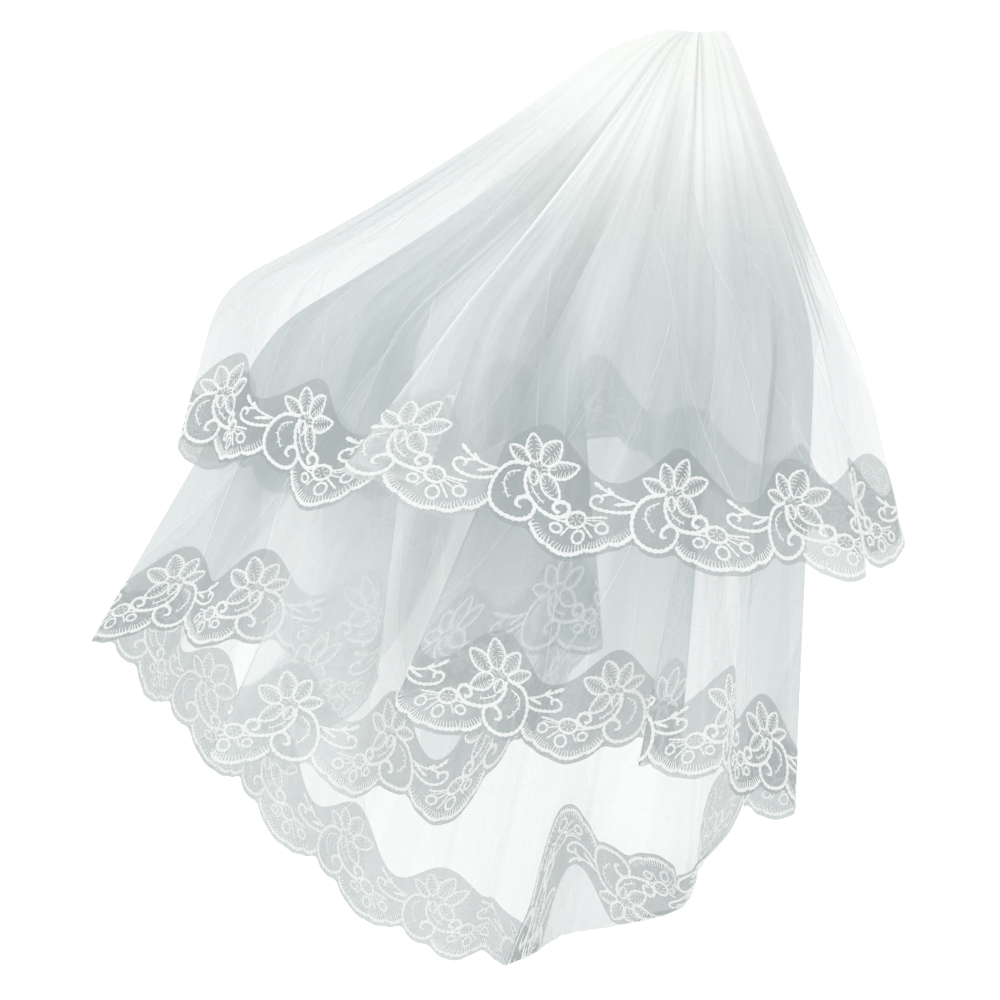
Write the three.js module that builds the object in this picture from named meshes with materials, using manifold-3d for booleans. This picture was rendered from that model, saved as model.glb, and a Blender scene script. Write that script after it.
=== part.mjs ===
// Lace bridal veil
//
// Two tiers of tulle are gathered on one hair comb and hang as they do when worn. Each tier
// ends in a wide lace border, scalloped along its hem, that lies on the outside of the tulle.
// Lengths are millimetres. X runs across the veil, -Y is the side that faces the viewer and
// Z is up. The origin is the middle of the comb's top face, where the veil pins on.

import * as THREE from 'three';
import Module from 'manifold-3d';

// Cloth and gaps
const CLOTH = 1.0;
const LACE_CLOTH = 1.0;
const SEAT_GAP = 0.3;
const HEM_ROLL = 14;

// Lace border: one repeat holds a flower, a scroll and a rosette
const LACE_HEIGHT_AT_FLOWER = 112;
const LACE_HEIGHT_BETWEEN = 72;
const SCALLOP_DEPTH = 18;
const FLOWER_PHASE = 0.33;
const SCALLOP_PHASE = 0.62;
const COLUMNS_PER_REPEAT = 5;
const LACE_ROWS = [0.7, 0.36];
const OPEN_GROUND_PHASES = [[0.1, 0.3], [0.5, 0.7]];
const OPEN_GROUND_ROW = 1;

// Comb
const COMB_HALF_LENGTH = 29;
const COMB_HALF_WIDTH = 3.5;
const COMB_SPINE_HEIGHT = 10;
const COMB_CURVE_STEPS = 12;
const COMB_TEETH = 13;
const TOOTH_PITCH = 4.2;
const TOOTH_WIDTH = 2;
const TOOTH_LENGTH = 38;
const TOOTH_BURY = 2;

// Folds of the upper tier, clockwise from above. The elbow is where the cloth breaks over
// the shoulder line, the hem is the fold's lowest point. Tuck is how far the valley after the
// fold sinks in, lap how far the cloth doubles back under it, lift how much shorter that
// doubled cloth is, and turn-up how much hem is turned.
const UPPER_FOLDS = [
  // fold, elbow x, elbow y, elbow z, hem x, hem y, hem z, tuck, lap, lift, turn-up
  ['right turn', 172, 0, -300, 220, 0, -492, 16, 0, 0, 0],
  ['right front', 98, -150, -240, 145, -185, -466, 14, 0, 0, 0],
  ['front first', 15, -190, -220, 45, -245, -452, 15, 0, 0, 0],
  ['front second', -40, -205, -220, -60, -265, -438, 14, 0, 0, 0],
  ['front third', -100, -205, -216, -145, -270, -424, 16, 0, 0, 0],
  ['front fourth', -162, -205, -210, -235, -270, -392, 5, 0, 0, 0],
  ['lapped lip', -218, -195, -204, -340, -255, -360, 60, 66, 0, 0],
  ['left front', -292, -150, -208, -362, -192, -398, 8, 0, 0, 0],
  ['left slope', -385, -85, -210, -448, -105, -374, 12, 0, 0, 0],
  ['left turn', -464, 0, -214, -514, 0, -388, 14, 0, 0, 0],
  ['back first', -400, 120, -226, -437, 160, -453, 32, 0, 0, 0],
  ['back second', -296, 170, -229, -323, 235, -478, 38, 0, 0, 0],
  ['back third', -201, 185, -228, -201, 250, -424, 40, 0, 0, 0],
  ['back fourth', -105, 185, -228, -79, 245, -412, 40, 0, 0, 0],
  ['back fifth', -20, 185, -231, 20, 240, -465, 28, 0, 0, 0],
  ['right back', 92, 140, -248, 137, 190, -507, 18, 0, 0, 0],
];

// Folds of the lower tier. Three of them lap, and two of those hide a shorter hem. The hem is
// turned up at the back right.
const LOWER_FOLDS = [
  // fold, elbow x, elbow y, elbow z, hem x, hem y, hem z, tuck, lap, lift, turn-up
  ['right turn', 120, 0, -262, 112, -10, -758, 22, 0, 0, 0],
  ['right front', 68, -105, -252, 14, -165, -665, 5, 0, 0, 0],
  ['right lip', 13, -140, -247, -65, -205, -655, 54, 60, 0, 0],
  ['front first', -39, -150, -241, -119, -170, -648, 8, 0, 0, 0],
  ['front second', -89, -155, -241, -190, -205, -628, 5, 0, 0, 0],
  ['middle lip', -140, -160, -235, -290, -225, -585, 120, 200, 50, 0],
  ['deep point', -190, -130, -239, -239, -110, -728, 22, 0, 0, 0],
  ['front third', -231, -140, -233, -345, -180, -675, 5, 0, 0, 0],
  ['left lip', -282, -145, -230, -461, -195, -634, 100, 140, 15, 0],
  ['left front', -320, -95, -231, -463, -105, -556, 22, 0, 0, 0],
  ['left turn', -410, 0, -250, -606, 0, -578, 12, 0, 0, 0],
  ['back first', -324, 110, -247, -551, 110, -695, 12, 0, 0, 0],
  ['back second', -253, 150, -250, -469, 170, -818, 13, 0, 0, 0],
  ['back third', -179, 165, -252, -367, 190, -934, 13, 0, 0, 0],
  ['back fourth', -111, 165, -252, -275, 185, -998, 12, 0, 0, 0],
  ['back fifth', -58, 165, -254, -213, 190, -996, 10, 0, 0, 0],
  ['back sixth', -11, 155, -256, -108, 200, -956, 10, 0, 0, 190],
  ['back seventh', 41, 132, -258, 20, 170, -914, 16, 0, 0, 90],
  ['back eighth', 86, 98, -261, 67, 100, -800, 22, 0, 0, 0],
];

// Each ring is an oval round the comb: half size in x, half size in y, height. The shoulder
// ring is longer to the left by shoulderLeft. Rows are shares of the cloth's length from the
// comb to the elbow, and skirt rows are shares of the plain tulle below the elbow.
const UPPER_TIER = {
  name: 'upper_tier',
  folds: UPPER_FOLDS,
  rim: [25, 2.4, 1.0],
  crest: [20, 20, 36],
  shoulder: [32, 46, 15],
  shoulderLeft: 2.65,
  repeats: 16,
  laceTurn: -1,
  laceStart: 0.1,
  pleat: 4.5,
  rows: [0, 0.06, 0.14, 0.3, 0.65, 1],
  skirtRows: [1],
};
const LOWER_TIER = {
  name: 'lower_tier',
  folds: LOWER_FOLDS,
  rim: [30.6, 4.9, -5],
  crest: [31, 16, 0],
  shoulder: [35, 36, -18],
  shoulderLeft: 1.9,
  repeats: 24,
  laceTurn: 1,
  laceStart: 0.825,
  pleat: 3.5,
  rows: [0, 0.09, 0.5, 1],
  skirtRows: [0.45, 0.93, 1],
};

// How far from each corner of a cloth line the bend begins: rim, crest, shoulder, elbow,
// and the share of a straight run that one bend may take
const BEND = [0, 16, 40, 50];
const LONGEST_BEND = 0.45;
// Sag in the middle of the long run to the elbow, for each square millimetre that it reaches
const SAG = 0.0001;
const LONG_RUN = 3;
// The hollow's middle line and half widths, used to spread the folds round the comb
const MIDDLE_X = -185;
const SPREAD_LEFT = 445;
const SPREAD_RIGHT = 135;
const SPREAD_DEPTH = 185;
// Share of tuck and lap that has opened at the elbow, and where the pleats are deepest
const ELBOW_TUCK = 0.6;
const ELBOW_LAP = 0.12;
const PLEAT_PEAK = 0.1;
// Share of the tuck, and of the way to the next fold's height, at the two turns of a lap
const LAP_TURNS = [[0.4, 0.1], [0.9, 0.4]];
// Steps for measuring the hem, and how far an offset may be lengthened at a sharp fold
const HEM_STEPS_PER_LINE = 40;
const STEEPEST_FACET = 0.6;

const vec = (x, y, z) => new THREE.Vector3(x, y, z);

// Points between a fold and the next one: the bottom of a plain valley, or the two turns of
// cloth that doubles back under a lapped fold
function between(before, fold, next, tuck, lap) {
  const way = lap > 0 ? fold.clone().sub(before) : next.clone().sub(fold);
  way.setZ(0).normalize();
  const inward = vec(way.y, -way.x, 0);
  if (lap === 0) {
    return [fold.clone().add(next).multiplyScalar(0.5).addScaledVector(inward, tuck)];
  }
  return LAP_TURNS.map(([depth, height]) => fold.clone()
    .addScaledVector(way, -lap)
    .addScaledVector(inward, tuck * depth)
    .setZ(THREE.MathUtils.lerp(fold.z, next.z, height)));
}

// Ridge and valley points of a tier at its elbow and its hem, with the turned-up length
function foldLines(folds) {
  const rows = folds.map(([, ex, ey, ez, hx, hy, hz, tuck, lap, lift, turn]) => ({
    elbow: vec(ex, ey, ez),
    hem: vec(hx, hy, hz),
    tuck,
    lap,
    lift,
    turn,
  }));
  const lines = [];
  rows.forEach((row, i) => {
    const before = rows.at(i - 1);
    const next = rows[(i + 1) % rows.length];
    const elbows = between(
      before.elbow, row.elbow, next.elbow, row.tuck * ELBOW_TUCK, row.lap * ELBOW_LAP,
    );
    const hems = between(before.hem, row.hem, next.hem, row.tuck, row.lap);
    lines.push({ elbow: row.elbow, hem: row.hem, turn: row.turn });
    hems.forEach((hem, j) => {
      hem.add(elbows[j].clone().sub(hem).setLength(row.lift));
      lines.push({ elbow: elbows[j], hem, turn: (row.turn + next.turn) / 2 });
    });
  });
  return lines;
}

// Smooth closed curve through values, at a place counted in values from the first one
function closedCurve(values, place) {
  const count = values.length;
  const start = Math.floor(place);
  const t = place - start;
  const pick = (step) => values[(start + step + count) % count];
  const [a, b, c, d] = [pick(-1), pick(0), pick(1), pick(2)];
  const weightA = 0.5 * (-t + 2 * t * t - t ** 3);
  const weightB = 0.5 * (2 - 5 * t * t + 3 * t ** 3);
  const weightC = 0.5 * (t + 4 * t * t - 3 * t ** 3);
  const weightD = 0.5 * (-t * t + t ** 3);
  if (typeof b === 'number') return weightA * a + weightB * b + weightC * c + weightD * d;
  return vec(0, 0, 0)
    .addScaledVector(a, weightA)
    .addScaledVector(b, weightB)
    .addScaledVector(c, weightC)
    .addScaledVector(d, weightD);
}

// Places along the hem, in folds, that are an even cloth length apart
function evenPlaces(hems, columns) {
  const steps = hems.length * HEM_STEPS_PER_LINE;
  const reach = [0];
  let last = closedCurve(hems, 0);
  for (let i = 1; i <= steps; i += 1) {
    const point = closedCurve(hems, (i / steps) * hems.length % hems.length);
    reach.push(reach[i - 1] + point.distanceTo(last));
    last = point;
  }
  const places = [];
  let step = 0;
  for (let column = 0; column < columns; column += 1) {
    const want = (column / columns) * reach[steps];
    while (reach[step + 1] < want) step += 1;
    const part = (want - reach[step]) / (reach[step + 1] - reach[step]);
    places.push(((step + part) / steps) * hems.length);
  }
  return places;
}

// Heights above the hem line of the lace border's wavy top and of the scalloped edge
const wave = (phase, peak) => 0.5 + 0.5 * Math.cos(2 * Math.PI * (phase - peak));
const laceTop = (phase) => THREE.MathUtils.lerp(
  LACE_HEIGHT_BETWEEN, LACE_HEIGHT_AT_FLOWER, wave(phase, FLOWER_PHASE),
);
const hemRise = (phase) => SCALLOP_DEPTH * (1 - wave(phase, SCALLOP_PHASE));
const lacePhase = (tier, around) => THREE.MathUtils.euclideanModulo(
  tier.laceTurn * around + tier.laceStart, 1,
);

// Stations that a cloth line runs through, from the comb to the hem
function stations(tier, lines, place) {
  const elbow = closedCurve(lines.map((line) => line.elbow), place);
  const hem = closedCurve(lines.map((line) => line.hem), place);
  const spread = elbow.x < 0 ? SPREAD_LEFT : SPREAD_RIGHT;
  const angle = Math.atan2(elbow.y / SPREAD_DEPTH, elbow.x / spread);
  const ring = ([halfX, halfY, height], left = 1) => vec(
    halfX * Math.cos(angle) * (Math.cos(angle) < 0 ? left : 1),
    halfY * Math.sin(angle),
    height,
  );
  const shoulder = ring(tier.shoulder, tier.shoulderLeft);
  const turn = Math.max(closedCurve(lines.map((line) => line.turn), place), 0);
  return { points: [ring(tier.rim), ring(tier.crest), shoulder, elbow, hem], turn };
}

// Straight runs between the stations, their lengths, and how much cloth reaches the elbow,
// the hem line and the cut edge
function measure({ points, turn }) {
  const runs = points.slice(1).map((point, i) => point.clone().sub(points[i]));
  const lengths = runs.map((run) => run.length());
  const toHem = lengths.reduce((sum, length) => sum + length, 0);
  return { runs, lengths, toElbow: toHem - lengths.at(-1), toHem, whole: toHem + turn };
}

// Point at a length along a cloth line: straight runs with rounded bends, then the turned hem
function clothPoint({ points }, { runs, lengths, toHem }, length) {
  const along = Math.min(length, toHem);
  const ways = runs.map((run) => run.clone().normalize());
  const place = points[0].clone();
  let start = 0;
  ways.forEach((way, i) => {
    const done = THREE.MathUtils.clamp(along - start, 0, lengths[i]);
    place.addScaledVector(way, done);
    if (i === LONG_RUN - 1) {
      const reach = Math.hypot(way.x, way.y);
      place.z -= 4 * SAG * reach * reach * done * (lengths[i] - done);
    }
    if (i > 0) {
      const room = LONGEST_BEND * Math.min(lengths[i - 1], lengths[i]);
      const bend = Math.min(BEND[i], room);
      const near = Math.max(1 - Math.abs(along - start) / bend, 0);
      place.addScaledVector(way.clone().sub(ways[i - 1]), near * near * bend / 4);
    }
    start += lengths[i];
  });
  const over = Math.max(length - toHem, 0);
  const roll = Math.min(over / HEM_ROLL, Math.PI);
  const rise = Math.max(over - Math.PI * HEM_ROLL, 0) - HEM_ROLL * Math.sin(roll);
  const outward = points[4].clone().sub(vec(MIDDLE_X, 0, 0)).setZ(0).normalize();
  return place.addScaledVector(outward, HEM_ROLL * (Math.cos(roll) - 1)).add(vec(0, 0, rise));
}

// Middle surface of a tier as a grid of points, row by row from the comb to the hem
function drape(tier) {
  const lines = foldLines(tier.folds);
  const columns = tier.repeats * COLUMNS_PER_REPEAT;
  const places = evenPlaces(lines.map((line) => line.hem), columns);
  const grid = [...tier.rows, ...tier.skirtRows, ...LACE_ROWS, 'hem'].map(() => []);
  places.forEach((place, column) => {
    const line = stations(tier, lines, place);
    const around = column / COLUMNS_PER_REPEAT;
    const phase = lacePhase(tier, around);
    const top = laceTop(phase);
    const edge = hemRise(phase);
    const cloth = measure(line);
    const plain = cloth.whole - top;
    const lengths = [
      ...tier.rows.map((share) => share * cloth.toElbow),
      ...tier.skirtRows.map((share) => THREE.MathUtils.lerp(cloth.toElbow, plain, share)),
      ...LACE_ROWS.map((share) => cloth.whole - top * share),
      cloth.whole - edge,
    ];
    const outward = line.points[2].clone().setZ(0).normalize();
    lengths.forEach((length, row) => {
      const point = clothPoint(line, cloth, length);
      const share = Math.min(length / plain, 1);
      const open = (share / PLEAT_PEAK) * Math.exp(1 - share / PLEAT_PEAK);
      const pleat = tier.pleat * open * Math.cos(2 * Math.PI * around);
      grid[row].push(point.addScaledVector(outward, pleat));
    });
  });
  return grid;
}

// Outward direction at each point of the grid, from the facets that meet there. It is
// lengthened where they meet at an angle, so that offset facets keep their distance.
function facing(grid) {
  const rows = grid.length;
  const columns = grid[0].length;
  const touching = grid.map((line) => line.map(() => []));
  for (let row = 0; row < rows - 1; row += 1) {
    for (let column = 0; column < columns; column += 1) {
      const right = (column + 1) % columns;
      const corners = [[row, column], [row, right], [row + 1, right], [row + 1, column]];
      for (const facet of [[0, 1, 2], [0, 2, 3]]) {
        const [a, b, c] = facet.map((i) => grid[corners[i][0]][corners[i][1]]);
        const normal = b.clone().sub(a).cross(c.clone().sub(a)).normalize();
        facet.forEach((i) => touching[corners[i][0]][corners[i][1]].push(normal));
      }
    }
  }
  return touching.map((line) => line.map((normals) => {
    const mean = normals.reduce((sum, normal) => sum.add(normal), vec(0, 0, 0)).normalize();
    const steepest = Math.min(...normals.map((normal) => normal.dot(mean)));
    return mean.divideScalar(Math.max(steepest, STEEPEST_FACET));
  }));
}

// Closed wall between two offsets of a grid that joins up round the veil; keep says which
// squares are cloth, and every edge of a missing square is closed
function wall(grid, normals, inner, outer, keep = () => true) {
  const rows = grid.length;
  const columns = grid[0].length;
  const positions = [];
  for (const offset of [outer, inner]) {
    grid.forEach((line, row) => line.forEach((point, column) => {
      const place = point.clone().addScaledVector(normals[row][column], offset);
      positions.push(place.x, place.y, place.z);
    }));
  }
  const layer = rows * columns;
  const at = (row, column) => row * columns + (column % columns);
  const isCloth = (row, column) => row >= 0 && row < rows - 1
    && keep(row, (column + columns) % columns);
  const faces = [];
  for (let row = 0; row < rows - 1; row += 1) {
    for (let column = 0; column < columns; column += 1) {
      if (!isCloth(row, column)) continue;
      const a = at(row, column);
      const b = at(row, column + 1);
      const c = at(row + 1, column + 1);
      const d = at(row + 1, column);
      faces.push(a, b, c, a, c, d);
      faces.push(a + layer, c + layer, b + layer, a + layer, d + layer, c + layer);
      const sides = [
        [a, b, isCloth(row - 1, column)],
        [b, c, isCloth(row, column + 1)],
        [c, d, isCloth(row + 1, column)],
        [d, a, isCloth(row, column - 1)],
      ];
      for (const [from, to, joined] of sides) {
        if (!joined) faces.push(to, from, from + layer, to, from + layer, to + layer);
      }
    }
  }
  const geometry = new THREE.BufferGeometry();
  geometry.setAttribute('position', new THREE.Float32BufferAttribute(positions, 3));
  geometry.setIndex(faces);
  geometry.computeVertexNormals();
  return geometry;
}

// The lace is left open where only net shows: inside the scroll and round the rosette
const laceSquares = (tier) => (row, column) => {
  const phase = lacePhase(tier, (column + 0.5) / COLUMNS_PER_REPEAT);
  const isOpen = OPEN_GROUND_PHASES.some(([from, to]) => phase > from && phase < to);
  return row !== OPEN_GROUND_ROW || !isOpen;
};

const veil = new THREE.Group();

function addMesh(name, geometry, material) {
  const mesh = new THREE.Mesh(geometry, material);
  mesh.name = name;
  veil.add(mesh);
}

// Tiers of tulle, each with its lace border laid on the outside a small gap away
const tulle = new THREE.MeshStandardMaterial({ color: 0xe4e9ea, roughness: 0.8, metalness: 0 });
const lace = new THREE.MeshStandardMaterial({ color: 0xf7faf9, roughness: 0.7, metalness: 0 });
const laceInner = CLOTH / 2 + SEAT_GAP;
for (const tier of [UPPER_TIER, LOWER_TIER]) {
  const grid = drape(tier);
  const normals = facing(grid);
  const firstLaceRow = tier.rows.length + tier.skirtRows.length - 1;
  addMesh(tier.name, wall(grid, normals, -CLOTH / 2, CLOTH / 2), tulle.clone());
  addMesh(
    tier.name.replace('tier', 'lace_border'),
    wall(
      grid.slice(firstLaceRow),
      normals.slice(firstLaceRow),
      laceInner,
      laceInner + LACE_CLOTH,
      laceSquares(tier),
    ),
    lace.clone(),
  );
}

// Comb: an oval spine under the gathers with a row of teeth that point down into the hair
function combGeometry(wasm) {
  const spineOutline = new THREE.Shape();
  spineOutline.absellipse(0, 0, COMB_HALF_LENGTH, COMB_HALF_WIDTH, 0, 2 * Math.PI);
  const spine = new THREE.ExtrudeGeometry(spineOutline, {
    depth: COMB_SPINE_HEIGHT, bevelEnabled: false, curveSegments: COMB_CURVE_STEPS,
  });
  spine.translate(0, 0, -COMB_SPINE_HEIGHT);
  let comb = solidOf(spine, wasm);
  for (let i = 0; i < COMB_TEETH; i += 1) {
    const tooth = new THREE.BoxGeometry(TOOTH_WIDTH, TOOTH_WIDTH, TOOTH_LENGTH + TOOTH_BURY);
    const height = -COMB_SPINE_HEIGHT + TOOTH_BURY / 2 - TOOTH_LENGTH / 2;
    tooth.translate((i - (COMB_TEETH - 1) / 2) * TOOTH_PITCH, 0, height);
    comb = comb.add(solidOf(tooth, wasm));
  }
  return geometryOf(comb);
}

function solidOf(geometry, wasm) {
  const points = new Map();
  const vertices = [];
  const position = geometry.getAttribute('position');
  const shared = Array.from({ length: position.count }, (_, i) => {
    const point = [position.getX(i), position.getY(i), position.getZ(i)];
    const key = point.map((value) => value.toFixed(4)).join();
    if (!points.has(key)) {
      points.set(key, points.size);
      vertices.push(...point);
    }
    return points.get(key);
  });
  const corners = geometry.index ? Array.from(geometry.index.array) : shared.map((_, i) => i);
  return new wasm.Manifold(new wasm.Mesh({
    numProp: 3,
    vertProperties: new Float32Array(vertices),
    triVerts: new Uint32Array(corners.map((corner) => shared[corner])),
  }));
}

function geometryOf(solid) {
  const mesh = solid.getMesh();
  const geometry = new THREE.BufferGeometry();
  geometry.setAttribute('position', new THREE.Float32BufferAttribute(mesh.vertProperties, 3));
  geometry.setIndex(Array.from(mesh.triVerts));
  geometry.computeVertexNormals();
  return geometry;
}

const wasm = await Module();
wasm.setup();
const combPlastic = new THREE.MeshStandardMaterial({
  color: 0xf2f2ee, roughness: 0.35, metalness: 0,
});
addMesh('comb', combGeometry(wasm), combPlastic);

export default veil;
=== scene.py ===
# %% [markdown]
# A lace bridal veil
#
# The real veil is two tiers of fine tulle gathered on one hair comb. The short tier falls
# over the long one, and each ends in a wide scalloped lace edging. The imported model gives
# its true size and form with walls a millimetre thick. This lesson dresses that model: it
# lays a fine, see-through sheet in the place of each wall and draws the embroidery on it.
# Everything is in metres in the model's own frame: -Y faces the viewer and Z is up.

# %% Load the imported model
import math

import bpy
import numpy as np
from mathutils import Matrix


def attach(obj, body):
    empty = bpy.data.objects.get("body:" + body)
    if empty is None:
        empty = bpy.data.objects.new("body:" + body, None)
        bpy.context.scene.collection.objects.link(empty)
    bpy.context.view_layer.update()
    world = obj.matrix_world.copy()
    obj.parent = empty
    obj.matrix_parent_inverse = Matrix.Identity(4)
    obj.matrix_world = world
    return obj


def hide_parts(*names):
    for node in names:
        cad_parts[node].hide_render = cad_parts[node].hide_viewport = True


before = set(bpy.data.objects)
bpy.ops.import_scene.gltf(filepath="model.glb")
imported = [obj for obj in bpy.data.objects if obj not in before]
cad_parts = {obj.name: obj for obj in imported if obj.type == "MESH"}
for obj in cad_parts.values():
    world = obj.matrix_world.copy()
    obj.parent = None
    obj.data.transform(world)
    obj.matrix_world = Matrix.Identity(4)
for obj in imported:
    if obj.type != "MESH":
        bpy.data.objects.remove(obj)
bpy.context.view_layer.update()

print("nodes:", sorted(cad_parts))

# %% [markdown]
# Camera
#
# The photo was taken from a little above, with the veil filling the frame. A long lens keeps
# the near and far hems close in size, and the near lace still comes out a quarter larger than
# the far lace, which is how the distance of 2.25 m was found.

# %% Camera at the photo's angle
VIEW_TARGET = (-0.190, 0.0, -0.428)
VIEW_DISTANCE = 2.25
VIEW_PITCH = math.radians(12)
SENSOR = 36.0


def add_camera():
    camera = bpy.data.cameras.new("camera")
    camera.sensor_width = SENSOR
    camera.lens = SENSOR * VIEW_DISTANCE
    seen = bpy.data.objects.new("camera", camera)
    bpy.context.scene.collection.objects.link(seen)
    back = VIEW_DISTANCE * math.cos(VIEW_PITCH)
    rise = VIEW_DISTANCE * math.sin(VIEW_PITCH)
    x, y, z = VIEW_TARGET
    seen.location = (x, y - back, z + rise)
    seen.rotation_euler = (math.pi / 2 - VIEW_PITCH, 0, 0)
    bpy.context.scene.camera = seen
    return seen


camera = add_camera()
print("camera at", tuple(round(value, 3) for value in camera.location))

# %% [markdown]
# How the cloth hangs
#
# A veil that hangs in folds could be simulated, but a simulation doesn't land on the folds of
# one photo. It could be sculpted, but then the embroidery has nothing to follow. Here the
# folds are a short table, a row for each fold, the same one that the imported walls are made
# from. A cloth line runs from the comb over the crown and the shoulder line to the hem, and
# smooth closed curves carry the folds round the veil. The same function then places the net,
# the lace and every thread of embroidery, so that they always fit each other.
#
# Tuck is how far the valley after a fold sinks in, lap is how far the cloth doubles back
# under it, lift is how much shorter that doubled cloth is, and turn-up is the hem turned up.

# %% The folds of the two tiers, in millimetres
UPPER_FOLDS = [
    # fold, elbow x, elbow y, elbow z, hem x, hem y, hem z, tuck, lap, lift, turn-up
    ("right turn", 172, 0, -300, 220, 0, -492, 16, 0, 0, 0),
    ("right front", 98, -150, -240, 145, -185, -466, 14, 0, 0, 0),
    ("front first", 15, -190, -220, 45, -245, -452, 15, 0, 0, 0),
    ("front second", -40, -205, -220, -60, -265, -438, 14, 0, 0, 0),
    ("front third", -100, -205, -216, -145, -270, -424, 16, 0, 0, 0),
    ("front fourth", -162, -205, -210, -235, -270, -392, 5, 0, 0, 0),
    ("lapped lip", -218, -195, -204, -340, -255, -360, 60, 66, 0, 0),
    ("left front", -292, -150, -208, -362, -192, -398, 8, 0, 0, 0),
    ("left slope", -385, -85, -210, -448, -105, -374, 12, 0, 0, 0),
    ("left turn", -464, 0, -214, -514, 0, -388, 14, 0, 0, 0),
    ("back first", -400, 120, -226, -437, 160, -453, 32, 0, 0, 0),
    ("back second", -296, 170, -229, -323, 235, -478, 38, 0, 0, 0),
    ("back third", -201, 185, -228, -201, 250, -424, 40, 0, 0, 0),
    ("back fourth", -105, 185, -228, -79, 245, -412, 40, 0, 0, 0),
    ("back fifth", -20, 185, -231, 20, 240, -465, 28, 0, 0, 0),
    ("right back", 92, 140, -248, 137, 190, -507, 18, 0, 0, 0),
]
LOWER_FOLDS = [
    ("right turn", 120, 0, -262, 112, -10, -758, 22, 0, 0, 0),
    ("right front", 68, -105, -252, 14, -165, -665, 5, 0, 0, 0),
    ("right lip", 13, -140, -247, -65, -205, -655, 54, 60, 0, 0),
    ("front first", -39, -150, -241, -119, -170, -648, 8, 0, 0, 0),
    ("front second", -89, -155, -241, -190, -205, -628, 5, 0, 0, 0),
    ("middle lip", -140, -160, -235, -290, -225, -585, 120, 200, 50, 0),
    ("deep point", -190, -130, -239, -239, -110, -728, 22, 0, 0, 0),
    ("front third", -231, -140, -233, -345, -180, -675, 5, 0, 0, 0),
    ("left lip", -282, -145, -230, -461, -195, -634, 100, 140, 15, 0),
    ("left front", -320, -95, -231, -463, -105, -556, 22, 0, 0, 0),
    ("left turn", -410, 0, -250, -606, 0, -578, 12, 0, 0, 0),
    ("back first", -324, 110, -247, -551, 110, -695, 12, 0, 0, 0),
    ("back second", -253, 150, -250, -469, 170, -818, 13, 0, 0, 0),
    ("back third", -179, 165, -252, -367, 190, -934, 13, 0, 0, 0),
    ("back fourth", -111, 165, -252, -275, 185, -998, 12, 0, 0, 0),
    ("back fifth", -58, 165, -254, -213, 190, -996, 10, 0, 0, 0),
    ("back sixth", -11, 155, -256, -108, 200, -956, 10, 0, 0, 190),
    ("back seventh", 41, 132, -258, 20, 170, -914, 16, 0, 0, 90),
    ("back eighth", 86, 98, -261, 67, 100, -800, 22, 0, 0, 0),
]
# Rim, crest and shoulder are ovals round the comb: half size in x, half size in y, height
UPPER_TIER = {
    "name": "upper", "folds": UPPER_FOLDS, "pleat": 2.6,
    "rim": (25, 2.4, 1.0), "crest": (20, 20, 36),
    "shoulder": (32, 46, 15), "shoulder_left": 2.65,
    "repeats": 16, "lace_turn": -1, "lace_start": 0.1,
}
LOWER_TIER = {
    "name": "lower", "folds": LOWER_FOLDS, "pleat": 2.8,
    "rim": (30.6, 4.9, -5), "crest": (31, 16, 0),
    "shoulder": (35, 36, -18), "shoulder_left": 1.9,
    "repeats": 24, "lace_turn": 1, "lace_start": 0.825,
}
print("folds:", len(UPPER_FOLDS), "and", len(LOWER_FOLDS))

# %% [markdown]
# From folds to curves
#
# Between two folds the cloth sinks into a valley. Where a fold is lapped, the cloth turns
# back under it and turns again, as in a pressed pleat. The points of both kinds are joined by
# a smooth closed curve, once at the elbow and once at the hem. Each also says how bunched the
# cloth is beside a lapped fold and how sharp its crease is, for the net's finish.

# %% Ridge and valley points
# Share of the tuck, and of the way to the next fold's height, at the two turns of a lap
LAP_TURNS = ((0.4, 0.1), (0.9, 0.4))
# Share of the hem's tuck and lap that is there at the elbow
ELBOW_TUCK = 0.6
ELBOW_LAP = 0.12
BUNCHED = {"left lip": 1.0, "middle lip": 0.45, "lapped lip": 0.9, "right lip": 0.4}
PULLED_ALONG = 0.55
PLAIN_CREASE = 0.3


def between(before, fold, after, tuck, lap):
    way = (fold - before if lap else after - fold) * (1, 1, 0)
    way = way / np.linalg.norm(way)
    inward = np.array((way[1], -way[0], 0.0))
    if not lap:
        return [(fold + after) / 2 + inward * tuck]
    turns = []
    for depth, height in LAP_TURNS:
        turn = fold - way * lap + inward * (tuck * depth)
        turn[2] = fold[2] + (after[2] - fold[2]) * height
        turns.append(turn)
    return turns


def shorten(hem, elbow, lift):
    way = elbow - hem
    return hem + way * (lift / np.linalg.norm(way))


def fold_lines(folds):
    elbows = np.array([row[1:4] for row in folds], float)
    hems = np.array([row[4:7] for row in folds], float)
    lines = {"elbow": [], "hem": [], "turn": [], "lapped": [], "creased": []}
    for i, (fold, *_, tuck, lap, lift, turn) in enumerate(folds):
        after = (i + 1) % len(folds)
        eased = (tuck * ELBOW_TUCK, lap * ELBOW_LAP)
        at_elbow = between(elbows[i - 1], elbows[i], elbows[after], *eased)
        at_hem = between(hems[i - 1], hems[i], hems[after], tuck, lap)
        at_hem = [shorten(hem, elbow, lift) for hem, elbow in zip(at_hem, at_elbow)]
        lines["elbow"] += [elbows[i], *at_elbow]
        lines["hem"] += [hems[i], *at_hem]
        lines["turn"] += [turn] + [(turn + folds[after][-1]) / 2] * len(at_hem)
        bunch = BUNCHED.get(fold, 0)
        pulled = BUNCHED.get(folds[after][0], 0) * PULLED_ALONG
        lines["lapped"] += [bunch, bunch, bunch] if lap else [pulled, pulled]
        lines["creased"] += [1, 0, 0] if lap else [PLAIN_CREASE, 0]
    return {name: np.array(values, float) for name, values in lines.items()}


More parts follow.
